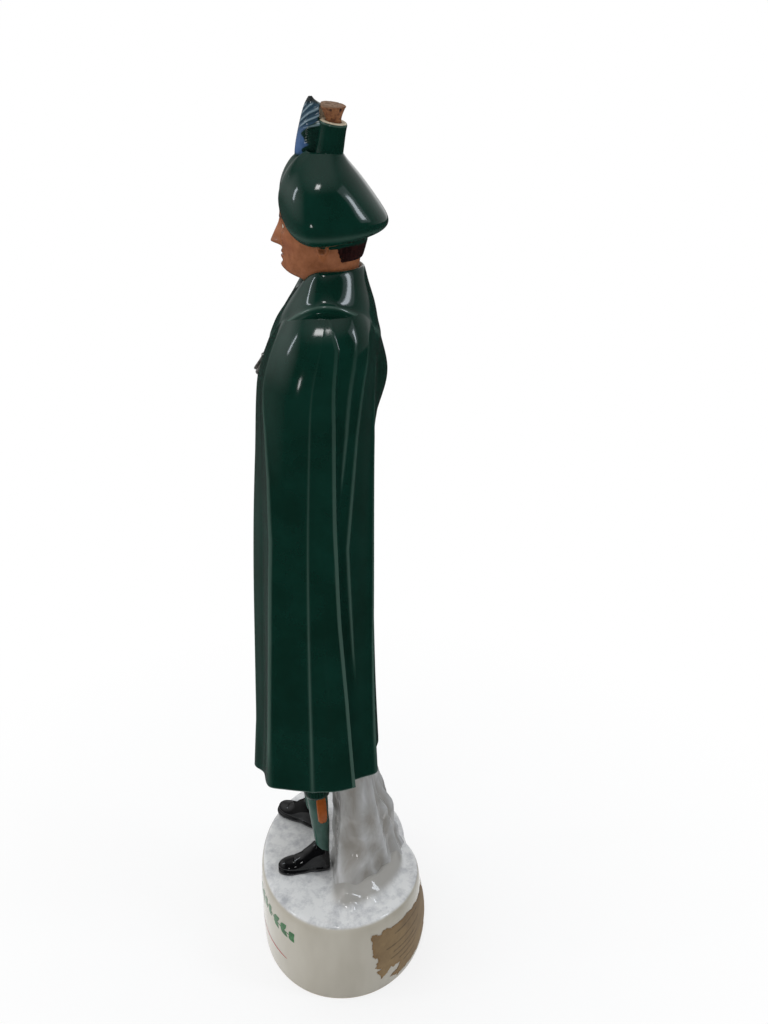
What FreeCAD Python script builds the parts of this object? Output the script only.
import FreeCAD, Part
import math
import os

from FreeCAD import Vector

os.makedirs("parts", exist_ok=True)

# Figural decanter, millimetres. +Z up, the figure faces -Y, its left hand is +X.
# The origin is on the table under the middle of the plinth.

# Plinth
plinth_half_length = 60.0
plinth_half_depth = 45.0
plinth_height = 48.0
plinth_wall = 5.0
plinth_squareness = 2.05
plinth_turn = 10.0
# Levels of the hollow between the floor's top and the roof's underside, and of the recess under the floor.
plinth_hollow_shares = (0.0, 0.25, 0.5, 0.75, 1.0)
foot_recess_shares = (-1.0, -0.5, 0.5, 1.0)
foot_ring_width = 9.0
foot_recess = 2.0
vent_hole_radius = 2.0
drain_hole_radius = 6.0
# Level up the wall, and how much of the full oval the wall has there, first plain and then where a
# shoulder slopes down from the rock.
plinth_wall_shares = (
    (0.0, 0.99, 0.99), (0.03, 0.995, 0.995), (0.14, 1.0, 1.0), (0.40, 1.004, 0.96), (0.70, 1.0, 0.74),
    (0.88, 0.995, 0.71), (0.97, 0.98, 0.68), (1.0, 0.95, 0.66), (1.0, 0.91, 0.61), (1.0, 0.86, 0.56),
)
shoulder_direction = 118.0
shoulder_spread = 36.0

# Height that the legs and the rock show under the hem
leg_show = 71.0

# The figure stands a little forward on the plinth, and its cloak is turned to its right.
figure_forward = 2.5
cloak_turn = 11.0

# Cloak, which is the reservoir
cloak_height = 237.0
cloak_half_width = 41.0
cloak_front_reach = 39.5
cloak_back_reach = 20.3
cloak_wall = 5.0
cloak_groove_room = 3.0
cloak_squareness = 2.8
cloak_point_count = 144
hem_recess = 4.0
hem_wall = 4.0
# Level up the cloak, then half width, front reach and back reach there.
cloak_outline_shares = (
    (0.0, 1.0, 1.0, 1.0), (0.02, 1.0, 0.998, 0.991), (0.12, 0.989, 0.972, 0.951),
    (0.27, 0.978, 0.948, 0.916), (0.44, 0.966, 0.916, 0.902), (0.59, 0.955, 0.872, 0.898),
    (0.71, 0.944, 0.82, 0.92), (0.785, 0.933, 0.80, 0.96), (0.845, 0.921, 0.775, 1.0),
    (0.885, 0.888, 0.69, 1.04), (0.915, 0.838, 0.61, 1.05), (0.94, 0.753, 0.53, 1.0),
    (0.962, 0.64, 0.445, 0.89), (0.983, 0.483, 0.315, 0.75), (0.997, 0.337, 0.224, 0.622),
    (1.0, 0.292, 0.188, 0.556),
)
# Each side swells: direction and spread in degrees, and a share of the local radius.
side_swell_shares = (8.0, 26.0, 0.04)
# Folds on the left half. Each has its spread in degrees and its line up the cloak: level, direction,
# and height as a share of fold_rise. The right half mirrors them.
fold_rise = 4.0
fold_fade_power = 3.0
cloak_fold_shares = (
    (5.0, (
        (0.0, -31.0, 1.35), (0.12, -30.0, 1.0), (0.35, -27.0, 0.95), (0.56, -25.5, 0.88),
        (0.68, -28.5, 0.75), (0.77, -33.0, 0.65), (0.93, -46.0, 0.4), (0.97, -50.0, 0.0),
    )),
    (5.0, (
        (0.0, -43.0, -0.5), (0.35, -40.0, -0.5), (0.56, -39.0, -0.5), (0.77, -46.0, -0.4),
        (0.93, -59.0, -0.1), (0.97, -60.0, 0.0),
    )),
    (2.6, (
        (0.45, 14.0, 0.0), (0.5, 15.0, 0.25), (0.63, 18.0, 0.38), (0.763, 22.0, 0.38),
        (0.86, 23.5, 0.38), (0.93, 24.5, 0.3), (0.97, 23.5, 0.0),
    )),
    (3.4, (
        (0.2, 33.0, 0.0), (0.31, 29.0, 0.38), (0.54, 24.5, 0.42), (0.63, 27.0, 0.42),
        (0.757, 30.5, 0.42), (0.84, 34.5, 0.42), (0.92, 38.5, 0.35), (0.97, 44.0, 0.0),
    )),
    (5.0, (
        (0.0, 47.0, 1.75), (0.08, 48.0, 1.35), (0.3, 50.0, 1.15), (0.6, 56.0, 1.15),
        (0.73, 60.0, 1.05), (0.88, 57.0, 0.8), (0.96, 60.0, 0.0),
    )),
    (5.0, ((0.0, 84.0, 0.32), (0.9, 84.0, 0.25), (0.97, 84.0, 0.0))),
    (5.0, (
        (0.0, -55.0, 0.95), (0.12, -55.0, 0.55), (0.5, -54.0, 0.45), (0.9, -66.0, 0.35), (0.96, -68.0, 0.0),
    )),
    (5.0, ((0.0, -73.0, 0.25), (0.9, -76.0, 0.25), (0.96, -76.0, 0.0))),
)
# The back edge of each side panel stands proud: level, direction, and how much of it shows.
panel_edge_shares = (
    (0.0, 26.5, 1.0), (0.22, 22.5, 1.0), (0.39, 18.5, 1.0), (0.59, 15.5, 1.0), (0.79, 14.0, 1.0),
    (0.84, 13.0, 1.0), (0.92, 10.5, 1.0), (0.958, 5.0, 0.5), (0.98, -2.5, 0.0),
)
panel_lift = 1.5
panel_drop = 4.2
panel_lift_spread = 7.0
panel_drop_spread = 1.1
panel_recovery_spread = 15.0
# The front edge of the cloak laps over at the middle: level, and how much of it shows.
front_lap_shares = ((0.0, 1.0), (0.86, 1.0), (0.93, 0.0))
front_lap_rise = 1.8
front_lap_direction = -86.0
front_lap_edge_spread = 1.0
front_lap_spread = 9.0
# The right elbow pushes the cloak out at the back: direction, spread, level, level spread, height share.
elbow_direction = 112.0
elbow_spread = 18.0
elbow_level_share = 0.822
elbow_level_spread_share = 0.075
elbow_push_share = 0.25

# Collar, a wide fall round the neck
collar_rise = 37.0
collar_half_width = 25.5
collar_front_reach = 25.2
collar_back_reach = 23.4
collar_drop = 27.0
# Levels at front, side and back, then half width, front reach and back reach.
collar_drape_shares = (
    (0.75, 0.75, 0.75, 0.27, 0.22, 0.33), (0.757, 1.0, 1.0, 0.54, 0.41, 0.645),
    (0.716, 0.985, 0.973, 0.625, 0.53, 0.70), (0.57, 0.83, 0.757, 0.755, 0.655, 0.77),
    (0.35, 0.689, 0.405, 0.87, 0.88, 0.93), (0.0, 0.595, 0.03, 1.0, 1.0, 1.0),
    (0.0, 0.58, 0.03, 0.97, 0.97, 0.97), (0.02, 0.56, 0.05, 0.80, 0.84, 0.83),
    (0.43, 0.43, 0.43, 0.40, 0.30, 0.40),
)

# Brooch at the chest
brooch_radius = 4.6
brooch_wire = 1.1
brooch_pin_length = 10.6
brooch_pin_radius = 0.8
brooch_rise = 203.0
brooch_forward = 28.9
brooch_lean = 28.0

# Head and throat
head_rise = 50.0
head_half_width = 17.6
head_front_reach = 19.4
head_back_reach = 19.3
# Level, then half width, front reach and back reach.
head_outline_shares = (
    (0.0, 0.655, 0.44, 0.685), (0.06, 0.655, 0.46, 0.69), (0.09, 0.69, 0.62, 0.70),
    (0.12, 0.74, 0.90, 0.71), (0.19, 0.80, 0.955, 0.73), (0.27, 0.86, 0.955, 0.76),
    (0.36, 0.91, 0.965, 0.83), (0.46, 0.955, 0.975, 0.91), (0.56, 0.985, 0.955, 0.965),
    (0.66, 1.0, 1.0, 0.97), (0.76, 0.97, 0.985, 0.88), (0.86, 0.86, 0.86, 0.70),
    (0.94, 0.64, 0.64, 0.48), (0.985, 0.40, 0.38, 0.28), (1.0, 0.22, 0.21, 0.16),
)
nose_direction = -90.0
nose_spread = 9.0
nose_level_share = 0.37
nose_level_spread_share = 0.075
nose_push_share = 0.22

# Liquor channel through the head and the cap
channel_radius = 6.0
channel_back = 2.0

# Hair at the back, and how high it shows
hair_thickness = 1.2
hair_low = 12.5
hair_front = 8.0

# Cap and its band
cap_rise = 36.5
cap_half_width = 25.6
cap_front_reach = 19.6
cap_back_reach = 27.4
band_thickness = 0.9
band_low = 18.5
band_high = 25.0
band_front = 2.0
# Levels at front, side and back, then half width, front reach and back reach.
cap_drape_shares = (
    (0.42, 0.42, 0.42, 0.40, 0.45, 0.38), (0.43, 0.06, 0.13, 0.66, 0.86, 0.60),
    (0.435, 0.03, 0.12, 0.74, 0.91, 0.72), (0.47, 0.05, 0.14, 0.86, 0.94, 0.88),
    (0.55, 0.20, 0.24, 1.0, 0.965, 1.0), (0.70, 0.42, 0.38, 0.985, 0.93, 0.91),
    (0.82, 0.65, 0.57, 0.80, 0.84, 0.70), (0.915, 0.82, 0.78, 0.57, 0.72, 0.51),
    (0.975, 0.945, 0.91, 0.38, 0.61, 0.34), (1.0, 1.0, 1.0, 0.28, 0.45, 0.27),
)

# Bottle neck on the cap
neck_length = 15.8
neck_seat_depth = 3.5
neck_foot_radius = 6.1
neck_rim_radius = 5.6
neck_lean_back = 12.0
neck_lean_side = 5.0
neck_back = 1.3
passage_radius = 4.2
passage_depth = 6.6

# Cork and its bore, which runs a little more upright than the neck
bore_radius = 3.2
cork_clearance = 0.05
cork_lean_back = 1.0
cork_seat_length = 6.6
cork_show = 7.2
cork_head_height = 2.8
cork_head_radius = 5.2
cork_crown_slope = 9.0
cork_travel = 40.0
hackle_clearance = 0.4

# Hackle plume: steps up the plume, then half width, half depth and place behind the plume's foot.
hackle_height = 25.5
hackle_half_width = 5.5
hackle_half_depth = 4.6
hackle_forward = 8.4
hackle_sweep = 3.3
hackle_outline_shares = (
    (0.0, 0.90, 0.90, 0.0), (0.17, 0.96, 1.0, 0.12), (0.36, 1.0, 1.02, 0.42), (0.56, 0.99, 0.99, 0.78),
    (0.75, 0.88, 0.86, 1.0), (0.88, 0.66, 0.62, 1.0), (0.965, 0.36, 0.36, 1.0), (1.0, 0.18, 0.2, 1.0),
)

# Legs and shoes. The heel of each foot is its place, and it points outwards by its turn.
left_heel_place = (16.3, -3.9)
right_heel_place = (-14.4, -16.8)
left_foot_turn = 16.0
right_foot_turn = 24.0
shoe_length = 25.0
shoe_half_width = 5.6
shoe_height = 17.5
sole_sink = 5.0
# Step from heel to toe, half width and height.
shoe_outline_shares = (
    (-0.09, 0.45, 0.55), (-0.06, 0.74, 0.86), (0.05, 0.86, 1.0), (0.20, 0.88, 1.0), (0.34, 0.86, 0.80),
    (0.50, 0.95, 0.55), (0.68, 1.04, 0.43), (0.84, 0.98, 0.38), (0.96, 0.70, 0.31), (1.0, 0.35, 0.20),
)
hose_radius = 5.3
hose_forward_lean = 4.5
# Level from shoe to hem, and the leg's girth there.
hose_girth_shares = (
    (0.0, 0.62), (0.12, 0.66), (0.30, 0.84), (0.48, 1.0), (0.70, 1.02), (0.86, 1.0), (1.0, 1.02),
)
hose_step_from_heel = 0.6
hose_tuck = 9.0
cuff_low = 48.0
cuff_height = 8.0
cuff_thickness = 1.3
# Step up the cuff, and how much of its thickness it has there.
cuff_swell_shares = ((0.0, 0.4), (0.05, 0.8), (0.3, 1.1), (0.7, 1.1), (0.95, 0.8), (1.0, 0.4))
flash_length = 14.5
flash_width = 5.2
flash_thickness = 1.0
flash_corner = 1.4
flash_direction = 35.0

# Rock column behind the legs
rock_half_width = 40.0
rock_front_reach = 17.0
rock_back_reach = 21.5
rock_back = 13.0
rock_wall = 5.0
rock_hollow_depth = 1.2
rock_squareness = 2.0
rock_foot_squareness = 1.5
rock_foot_level_share = 0.3
rock_point_count = 96
# Level from plinth to hem recess, then half width, front reach and back reach.
rock_outline_shares = (
    (-0.14, 1.06, 1.04, 1.14), (-0.06, 1.03, 1.02, 1.06), (0.0, 1.0, 1.0, 0.98), (0.03, 0.95, 0.98, 0.94),
    (0.09, 0.80, 0.93, 0.87), (0.22, 0.66, 0.90, 0.76), (0.40, 0.57, 0.90, 0.69), (0.54, 0.55, 0.91, 0.41),
    (0.68, 0.53, 0.92, 0.30), (0.88, 0.51, 0.94, 0.16), (1.0, 0.50, 0.95, 0.11),
)
# Buttresses that run down the rock: direction at the top and at the foot, spread in degrees,
# and height as a share of buttress_rise.
buttress_rise = 3.0
buttress_wander = 5.0
buttress_wander_turns = 7.0
rock_buttress_shares = (
    (-28.0, -12.0, 11.0, 0.87), (8.0, 24.0, 12.0, 0.73), (40.0, 52.0, 11.0, 1.0), (76.0, 84.0, 13.0, 0.8),
    (112.0, 118.0, 11.0, 1.0), (150.0, 146.0, 12.0, 0.8), (188.0, 178.0, 12.0, 0.87),
    (222.0, 232.0, 13.0, 0.73), (262.0, 268.0, 12.0, 0.67), (300.0, 306.0, 12.0, 0.67),
)

# Torn paper label on the back wall of the plinth
label_thickness = 0.3
label_direction = 53.5
label_width = 55.0
label_height = 39.0
label_low = 1.4
# Torn outline: across and up.
label_tear_shares = (
    (0.02, 0.62), (0.07, 0.52), (0.03, 0.40), (0.10, 0.36), (0.05, 0.30), (0.12, 0.17), (0.20, 0.26),
    (0.34, 0.25), (0.29, 0.15), (0.20, 0.12), (0.30, 0.05), (0.24, -0.01), (0.33, 0.06), (0.46, 0.05),
    (0.70, 0.04), (0.86, 0.10), (0.97, 0.30), (1.0, 0.58), (0.94, 0.78), (0.86, 0.82), (0.83, 0.93),
    (0.77, 0.89), (0.55, 0.93), (0.44, 0.97), (0.30, 0.95), (0.16, 1.0), (0.06, 0.95), (0.0, 1.0),
)

# One run past the surface for every cut
overrun = 2.0
round_point_count = 48

# Heights that follow from the sizes above
hem_z = plinth_height + leg_show
hem_roof_z = hem_z + hem_recess
cloak_top_z = hem_z + cloak_height
collar_base_z = cloak_top_z - collar_drop
cap_base_z = cloak_top_z + band_low
cap_top_z = cap_base_z + cap_rise
neck_foot_z = cap_top_z - neck_seat_depth
leg_rise = hem_roof_z - plinth_height


def superellipse(direction, half_x, half_y, squareness):
    """Distance from the middle to an oval's edge in one direction (radians)."""
    across = abs(math.cos(direction)) / half_x
    along = abs(math.sin(direction)) / half_y
    return (across ** squareness + along ** squareness) ** (-1.0 / squareness)


def away(angle, direction):
    """Signed turn from a direction, between minus and plus half a turn; degrees."""
    return (angle - direction + 180.0) % 360.0 - 180.0


def bump(angle, direction, spread):
    """Smooth hill of height 1 round a direction; degrees."""
    return math.exp(-((away(angle, direction) / spread) ** 2))


def between(rows, level):
    """The other columns of a table at a level between its rows."""
    for low, high in zip(rows, rows[1:]):
        if level <= high[0]:
            break
    step = min(max((level - low[0]) / (high[0] - low[0]), 0.0), 1.0)
    return [start + (end - start) * step for start, end in zip(low[1:], high[1:])]


def skin(rings):
    """Closed solid under a smooth skin over rings of points; the end rings are flat."""
    around = len(rings[0])
    along = len(rings)
    poles = [[ring[i] for ring in rings] for i in range(around)]
    surface = Part.BSplineSurface()
    surface.buildFromPolesMultsKnots(
        poles,
        [1] * (around + 1),
        [4] + [1] * (along - 4) + [4],
        list(range(around + 1)),
        list(range(along - 2)),
        True,
        False,
        3,
        3,
    )
    side = surface.toShape()
    ends = [Part.Face(Part.Wire([edge])) for edge in side.Edges if edge.isClosed()]
    shell = Part.Shell([side] + ends)
    shell.sewShape()
    return Part.Solid(shell)


def directions(count):
    return [360.0 * i / count for i in range(count)]


def draped_ring(row, base_z, rise, half_width, front, back, centre_y=0.0, squareness=2.0, grow=0.0):
    """Ring whose level and reach differ at the front, the sides and the back."""
    front_level, side_level, back_level, width_share, front_share, back_share = row
    points = []
    for angle in directions(round_point_count):
        turn = math.radians(angle)
        rearward = math.sin(turn) > 0
        reach = back * back_share if rearward else front * front_share
        end_level = back_level if rearward else front_level
        radius = superellipse(turn, half_width * width_share + grow, reach + grow, squareness)
        level = side_level * math.cos(turn) ** 2 + end_level * math.sin(turn) ** 2
        points.append(Vector(
            radius * math.cos(turn),
            centre_y + radius * math.sin(turn),
            base_z + rise * level,
        ))
    return points


def flat_row(row):
    """A row with one level all round, in the form that draped_ring takes."""
    level, width_share, front_share, back_share = row
    return (level, level, level, width_share, front_share, back_share)


def column_ring(x, y, z, half_width, half_depth):
    return [
        Vector(x + half_width * math.cos(math.radians(a)), y + half_depth * math.sin(math.radians(a)), z)
        for a in directions(round_point_count)
    ]


def leaning_frame(x, y, z, lean_side, lean_back):
    """Placement at a point, with its own Z leaning to the figure's left and back by degrees."""
    axis = Vector(math.tan(math.radians(lean_side)), math.tan(math.radians(lean_back)), 1.0)
    return FreeCAD.Placement(Vector(x, y, z), FreeCAD.Rotation(Vector(0, 0, 1), axis))


def placed(shape, placement):
    shape.Placement = placement
    return shape


def half_space_below(z):
    """Block of everything under a level, wider than the part."""
    side = 2.0 * (plinth_half_length + overrun)
    return Part.makeBox(2.0 * side, 2.0 * side, z + overrun, Vector(-side, -side, -overrun))


def plinth_ring(row, inset=0.0):
    """Ring of the plinth's wall; the shoulder's share counts more and more towards its direction."""
    level, plain_share, shoulder_share = row
    points = []
    for angle in directions(round_point_count):
        turn = math.radians(angle)
        sloped = bump(angle, shoulder_direction, shoulder_spread)
        share = plain_share + (shoulder_share - plain_share) * sloped
        radius = share * superellipse(turn, plinth_half_length, plinth_half_depth, plinth_squareness) - inset
        place = turn + math.radians(plinth_turn)
        points.append(Vector(radius * math.cos(place), radius * math.sin(place), plinth_height * level))
    return points


def plinth_outside(grow=0.0):
    return skin([plinth_ring(row, -grow) for row in plinth_wall_shares])


def make_plinth():
    floor_level = (plinth_wall + foot_recess) / plinth_height
    roof_level = 1.0 - plinth_wall / plinth_height
    hollow_rings = []
    for step in plinth_hollow_shares:
        level = floor_level + (roof_level - floor_level) * step
        row = [level] + between(plinth_wall_shares, level)
        hollow_rings.append(plinth_ring(row, plinth_wall + foot_recess))
    foot_row = plinth_wall_shares[0]
    recess = skin([
        plinth_ring((level * foot_recess / plinth_height,) + foot_row[1:], foot_ring_width)
        for level in foot_recess_shares
    ])
    vent_depth = plinth_wall + foot_recess + 2.0 * overrun
    vent = Part.makeCylinder(vent_hole_radius, vent_depth, Vector(0, 0, -overrun))
    drain = Part.makeCylinder(
        drain_hole_radius,
        plinth_wall + 2.0 * overrun,
        Vector(0, rock_back - figure_forward, plinth_height - plinth_wall - overrun),
    )
    return plinth_outside().cut(skin(hollow_rings)).cut(recess).cut(vent).cut(drain)


def crest(offset, spread):
    """A fold's ridge of height 1, which falls off to both sides; degrees."""
    return math.exp(-abs(offset) / spread)


def panel_relief(past):
    """The side panel's back edge: it lifts towards the edge, then drops, and the surface behind recovers."""
    if past < 0:
        return panel_lift * math.exp(past / panel_lift_spread)
    step = 1.0 - math.exp(-past / panel_drop_spread)
    return (panel_lift - (panel_lift + panel_drop) * step) * math.exp(-past / panel_recovery_spread)


def cloak_relief(angle, level):
    """How far the folds, the panel edges and the front lap stand out from the cloak's plain form."""
    relief = 0.0
    for half in (angle, 180.0 - angle):
        for spread, line in cloak_fold_shares:
            direction, share = between(line, level)
            relief += fold_rise * share * crest(away(half, direction), spread)
        edge, shown = between(panel_edge_shares, level)
        past = away(half, edge)
        if abs(past) < 90.0:
            relief += shown * panel_relief(past)
    lap = away(angle, front_lap_direction)
    lap_spread = front_lap_edge_spread if lap < 0 else front_lap_spread
    relief += front_lap_rise * between(front_lap_shares, level)[0] * crest(lap, lap_spread)
    return relief * (1.0 - level ** fold_fade_power)


def cloak_swell(angle, level):
    """How far the sides and the right elbow push the cloak out, as a share of its radius."""
    direction, spread, share = side_swell_shares
    swell = share * (bump(angle, direction, spread) + bump(angle, 180.0 - direction, spread))
    elbow_rise = math.exp(-(((level - elbow_level_share) / elbow_level_spread_share) ** 2))
    swell *= 1.0 - level ** fold_fade_power
    return swell + elbow_push_share * elbow_rise * bump(angle, elbow_direction, elbow_spread)


def cloak_ring(row, inset=0.0, folds=1.0, z=None):
    level, width_share, front_share, back_share = row
    front = cloak_front_reach * front_share
    back = cloak_back_reach * back_share
    half_depth = (front + back) / 2.0 - inset
    half_width = cloak_half_width * width_share - inset
    points = []
    for angle in directions(cloak_point_count):
        turn = math.radians(angle)
        radius = superellipse(turn, half_width, half_depth, cloak_squareness)
        radius += folds * (radius * cloak_swell(angle, level) + cloak_relief(angle, level))
        points.append(Vector(
            radius * math.cos(turn),
            (back - front) / 2.0 + radius * math.sin(turn),
            hem_z + cloak_height * level if z is None else z,
        ))
    return points


def turned(shape):
    """The shape turned about the figure's upright axis with the cloak."""
    shape.rotate(Vector(0, 0, 0), Vector(0, 0, 1), cloak_turn)
    return shape


def cloak_outside():
    return turned(skin([cloak_ring(row) for row in cloak_outline_shares]))


def make_cloak():
    hem_row = cloak_outline_shares[0]
    recess = skin([
        cloak_ring(hem_row, hem_wall + cloak_groove_room, 0.0, z)
        for z in (hem_z - overrun, hem_z, hem_z + hem_recess / 2.0, hem_roof_z)
    ])
    inset = cloak_wall + cloak_groove_room
    floor_z = hem_roof_z + cloak_wall
    reservoir_rings = [cloak_ring(hem_row, inset, 0.0, floor_z)]
    reservoir_rings += [cloak_ring(row, inset, 0.0) for row in cloak_outline_shares[2:-3]]
    channel = Part.makeCylinder(channel_radius, cloak_height / 4.0, Vector(0, channel_back, cloak_top_z))
    channel.translate(Vector(0, 0, overrun - cloak_height / 4.0))
    return cloak_outside().cut(turned(recess)).cut(turned(skin(reservoir_rings))).cut(channel)


def make_collar(cloak, head):
    rings = [
        draped_ring(row, collar_base_z, collar_rise, collar_half_width, collar_front_reach, collar_back_reach)
        for row in collar_drape_shares
    ]
    return turned(skin(rings)).cut(cloak).cut(head)


def make_brooch(cloak, collar):
    """Open ring with a pin across it, seated on the front of the cloak."""
    seat = FreeCAD.Placement(
        Vector(0, -brooch_forward, hem_z + brooch_rise),
        FreeCAD.Rotation(Vector(1, 0, 0), 90.0 - brooch_lean),
    )
    ring = placed(Part.makeTorus(brooch_radius, brooch_wire), seat)
    pin = Part.makeCylinder(
        brooch_pin_radius,
        brooch_pin_length,
        Vector(0, -brooch_pin_length / 2.0, brooch_wire + brooch_pin_radius / 2.0),
        Vector(0, 1, 0),
    )
    pin = placed(pin, seat)
    pin.rotate(seat.Base, Vector(0, 1, 0), brooch_lean)
    return turned(ring.fuse(pin)).cut(cloak).cut(collar)


def head_ring(row, grow=0.0):
    level = row[0]
    points = draped_ring(
        flat_row(row), cloak_top_z, head_rise, head_half_width, head_front_reach, head_back_reach, grow=grow
    )
    nose_rise = math.exp(-(((level - nose_level_share) / nose_level_spread_share) ** 2))
    for angle, point in zip(directions(round_point_count), points):
        push = 1.0 + nose_push_share * nose_rise * bump(angle, nose_direction, nose_spread)
        point.x *= push
        point.y *= push
    return points


def head_outside(grow=0.0):
    return skin([head_ring(row, grow) for row in head_outline_shares])


def liquor_channel():
    low = cloak_top_z - overrun
    return Part.makeCylinder(channel_radius, neck_foot_z - overrun - low, Vector(0, channel_back, low))


def band_block(low, high, front):
    """Block that keeps the back part of a shell between two heights over the cloak's top."""
    side = 2.0 * cap_half_width
    return Part.makeBox(2.0 * side, side, high - low, Vector(-side, front, cloak_top_z + low))


def neck_frame():
    """Middle of the neck's foot, with the neck's lean."""
    return leaning_frame(0.0, neck_back, neck_foot_z, neck_lean_side, neck_lean_back)


def make_neck():
    return placed(Part.makeCone(neck_foot_radius, neck_rim_radius, neck_length), neck_frame())


def make_passage():
    """Wide lower part of the way out, down into the head's channel."""
    start = -2.0 * overrun
    return placed(Part.makeCylinder(passage_radius, passage_depth - start, Vector(0, 0, start)), neck_frame())


def cork_frame():
    """Middle of the mouth, with the bore's own lean."""
    mouth = neck_frame().multVec(Vector(0, 0, neck_length))
    return leaning_frame(mouth.x, mouth.y, mouth.z, neck_lean_side, cork_lean_back)


def make_bore(frame):
    depth = neck_length - passage_depth + overrun
    return placed(Part.makeCylinder(bore_radius, depth + overrun, Vector(0, 0, -depth)), frame)


def make_cork(frame):
    radius = bore_radius - cork_clearance
    neck_line = cork_show - cork_head_height
    outline = Part.makePolygon([
        Vector(0, 0, -cork_seat_length),
        Vector(radius, 0, -cork_seat_length),
        Vector(radius, 0, neck_line),
        Vector(cork_head_radius, 0, neck_line + cork_head_height / 2.0),
        Vector(cork_head_radius, 0, cork_show),
        Vector(0, 0, cork_show),
        Vector(0, 0, -cork_seat_length),
    ])
    cork = Part.Face(outline).revolve(Vector(0, 0, 0), Vector(0, 0, 1), 360)
    slope = math.tan(math.radians(cork_crown_slope)) * cork_head_radius
    lid = Part.makeBox(
        4.0 * cork_head_radius,
        4.0 * cork_head_radius,
        cork_show,
        Vector(-2.0 * cork_head_radius, -2.0 * cork_head_radius, cork_show - slope),
    )
    lid.rotate(Vector(0, 0, cork_show - slope), Vector(1, 0, 0), -cork_crown_slope)
    return placed(cork.cut(lid), frame)


def make_hackle(frame):
    foot_z = cap_top_z - neck_seat_depth - overrun / 2.0
    rings = [
        column_ring(
            0.0,
            hackle_sweep * sweep - hackle_forward,
            foot_z + hackle_height * level,
            hackle_half_width * width,
            hackle_half_depth * depth,
        )
        for level, width, depth, sweep in hackle_outline_shares
    ]
    room = Part.makeCylinder(cork_head_radius + hackle_clearance, cork_travel, Vector(0, 0, -overrun))
    return skin(rings).cut(placed(room, frame))


def foot_frame(heel_place, turn):
    """Placement at a heel on the plinth, with +X to the toe; turn is from straight ahead to the left."""
    return FreeCAD.Placement(
        Vector(heel_place[0], heel_place[1], plinth_height),
        FreeCAD.Rotation(Vector(0, 0, 1), turn - 90.0),
    )


def make_shoe(frame):
    rings = []
    for step, width_share, height_share in shoe_outline_shares:
        half_width = shoe_half_width * width_share
        half_height = (shoe_height * height_share + sole_sink) / 2.0
        rings.append([
            frame.multVec(Vector(
                shoe_length * step,
                half_width * math.cos(math.radians(a)),
                half_height * (1.0 + math.sin(math.radians(a))) - sole_sink,
            ))
            for a in directions(round_point_count)
        ])
    return skin(rings).cut(half_space_below(plinth_height))


def hose_place(frame, level):
    """Middle of the leg at a level from the plinth's top to the hem's roof."""
    ankle = frame.multVec(Vector(hose_step_from_heel, 0, 0))
    return ankle.x, ankle.y - hose_forward_lean * level, plinth_height + leg_rise * level


def make_hose(frame):
    tuck_level = hose_tuck / leg_rise
    rings = []
    for share_level, girth in hose_girth_shares:
        level = tuck_level + (1.0 - tuck_level) * share_level
        x, y, z = hose_place(frame, level)
        rings.append(column_ring(x, y, z, hose_radius * girth, hose_radius * girth))
    return skin(rings)


def make_cuff(frame):
    rings = []
    for step, swell in cuff_swell_shares:
        x, y, z = hose_place(frame, (cuff_low + cuff_height * step) / leg_rise)
        radius = hose_radius + cuff_thickness * swell
        rings.append(column_ring(x, y, z, radius, radius))
    return skin(rings)


def make_flash(frame, direction):
    """Garter tab with clipped corners, hanging from under the cuff."""
    half = flash_width / 2.0
    drop = -flash_length
    outline = Part.makePolygon([
        Vector(0, -half, cuff_height / 2.0),
        Vector(0, half, cuff_height / 2.0),
        Vector(0, half, drop + flash_corner),
        Vector(0, half - flash_corner, drop),
        Vector(0, flash_corner - half, drop),
        Vector(0, -half, drop + flash_corner),
        Vector(0, -half, cuff_height / 2.0),
    ])
    reach = hose_radius + flash_thickness
    tab = Part.Face(outline).extrude(Vector(reach, 0, 0))
    x, y, z = hose_place(frame, cuff_low / leg_rise)
    return placed(tab, FreeCAD.Placement(Vector(x, y, z), FreeCAD.Rotation(Vector(0, 0, 1), direction)))


def buttress_relief(angle, level):
    """How far the tallest buttress in this direction stands out from the rock."""
    tallest = 0.0
    for top, foot, spread, share in rock_buttress_shares:
        line = foot + (top - foot) * level + buttress_wander * math.sin(buttress_wander_turns * level + top)
        tallest = max(tallest, share * crest(away(angle, line), spread))
    return buttress_rise * tallest


def rock_ring(row, inset=0.0, relief=1.0, z=None):
    """Ring of the rock, whose foot is drawn out to a spur at each side."""
    level, width_share, front_share, back_share = row
    spread = min(max(level / rock_foot_level_share, 0.0), 1.0)
    squareness = rock_foot_squareness + (rock_squareness - rock_foot_squareness) * spread
    points = []
    for angle in directions(rock_point_count):
        turn = math.radians(angle)
        reach = rock_back_reach * back_share if math.sin(turn) > 0 else rock_front_reach * front_share
        radius = superellipse(turn, rock_half_width * width_share - inset, reach - inset, squareness)
        radius += relief * (buttress_relief(angle, level) - rock_hollow_depth)
        height = plinth_height + leg_rise * level if z is None else z
        points.append(Vector(radius * math.cos(turn), rock_back + radius * math.sin(turn), height))
    return points


def make_rock(plinth_solid):
    body = skin([rock_ring(row) for row in rock_outline_shares])
    hollow_rings = [rock_ring(rock_outline_shares[5], rock_wall, 0.0, plinth_height - 2.0 * overrun)]
    hollow_rings += [rock_ring(row, rock_wall, 0.0) for row in rock_outline_shares[5:-2]]
    plinth_solid.translate(Vector(0, figure_forward, 0))
    return body.cut(plinth_solid).cut(skin(hollow_rings))


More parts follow.
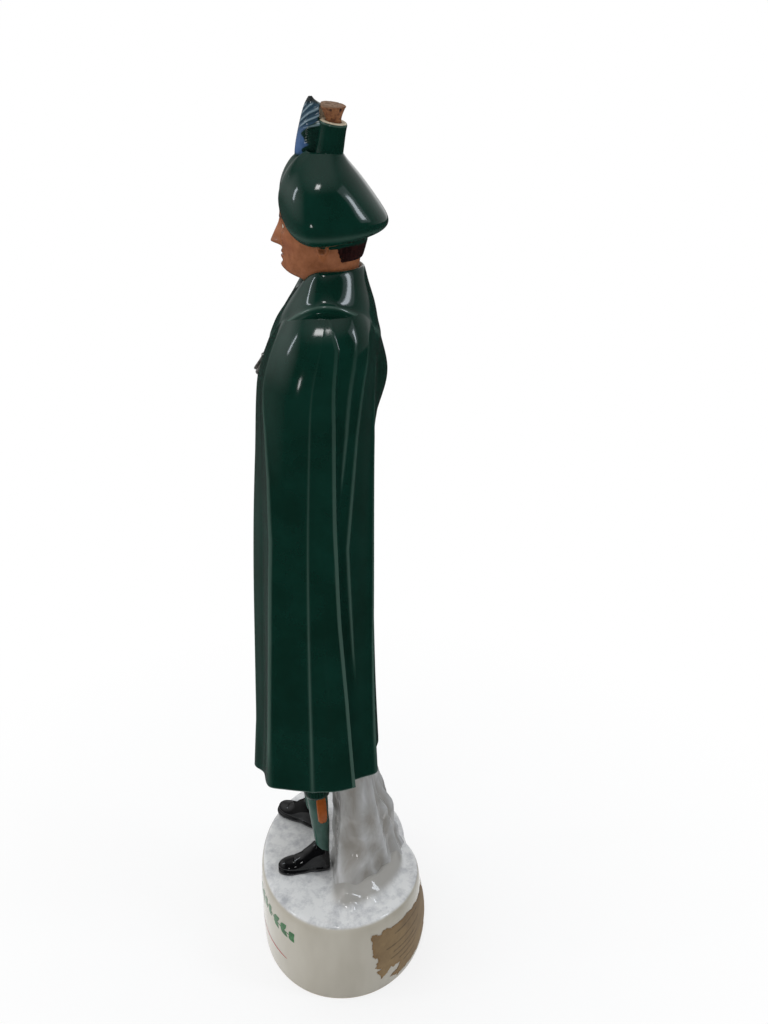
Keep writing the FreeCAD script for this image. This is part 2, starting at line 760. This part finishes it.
def make_label(plinth_solid):
    """Thin sheet on the wall, kept inside a torn outline that looks straight at it."""
    paper = plinth_outside(label_thickness)
    points = [
        Vector(0, label_width * (across - 0.5), label_low + label_height * up)
        for across, up in label_tear_shares
    ]
    tear = Part.Face(Part.makePolygon(points + points[:1])).extrude(Vector(2.0 * plinth_half_length, 0, 0))
    tear.rotate(Vector(0, 0, 0), Vector(0, 0, 1), label_direction)
    return paper.common(tear).cut(plinth_solid)


# Build the pieces, each one cut to the piece that carries it.
cloak_solid = cloak_outside()
head_solid = head_outside()
neck_solid = make_neck()
mouth_frame = cork_frame()
bore = make_bore(mouth_frame)
passage = make_passage()
channel = liquor_channel()

cap_solid = skin([
    draped_ring(row, cap_base_z, cap_rise, cap_half_width, cap_front_reach, cap_back_reach)
    for row in cap_drape_shares
])
collar = make_collar(cloak_solid, head_solid)
band_shell = head_outside(band_thickness).common(band_block(band_low, band_high, band_front))
cap_band = band_shell.cut(head_solid)
cap = cap_solid.cut(band_shell).cut(head_solid).cut(neck_solid).cut(channel).cut(passage)
hair_shell = head_outside(hair_thickness).common(band_block(hair_low, band_low, hair_front))
hair = hair_shell.cut(head_solid).cut(cap).cut(collar)

nodes = {
    "base_plinth": make_plinth(),
    "cloak_body": make_cloak(),
    "cloak_collar": collar,
    "brooch": make_brooch(cloak_solid, collar),
    "head": head_solid.cut(channel).cut(passage),
    "hair": hair,
    "cap": cap,
    "cap_band": cap_band,
    "bottle_neck": neck_solid.cut(bore).cut(passage),
    "cork_stopper": make_cork(mouth_frame),
    "hackle": make_hackle(mouth_frame).cut(neck_solid).cut(cap_solid),
    "paper_label": make_label(plinth_outside()),
}

rock = make_rock(plinth_outside())
for side, heel, turn, outward in (
    ("left", left_heel_place, left_foot_turn, flash_direction),
    ("right", right_heel_place, -right_foot_turn, 180.0 - flash_direction),
):
    frame = foot_frame(heel, turn)
    hose = make_hose(frame)
    shoe = make_shoe(frame).cut(hose)
    cuff = make_cuff(frame).cut(hose)
    rock = rock.cut(hose).cut(shoe).cut(cuff)
    flash = make_flash(frame, outward).cut(hose).cut(cuff)
    rock = rock.cut(flash)
    nodes[side + "_hose"] = hose
    nodes[side + "_shoe"] = shoe
    nodes[side + "_hose_cuff"] = cuff
    nodes[side + "_garter_flash"] = flash
nodes["rock_outcrop"] = rock.cut(nodes["cloak_body"])

for name, shape in nodes.items():
    if name not in ("base_plinth", "paper_label"):
        shape.translate(Vector(0, -figure_forward, 0))
    shape.exportStep("parts/" + name + ".step")
    box = shape.BoundBox
    print(
        name, "solids", len(shape.Solids), "valid", shape.isValid(), "cm3", round(shape.Volume / 1000.0, 2),
        "x", round(box.XMin, 1), round(box.XMax, 1), "y", round(box.YMin, 1), round(box.YMax, 1),
        "z", round(box.ZMin, 1), round(box.ZMax, 1),
    )
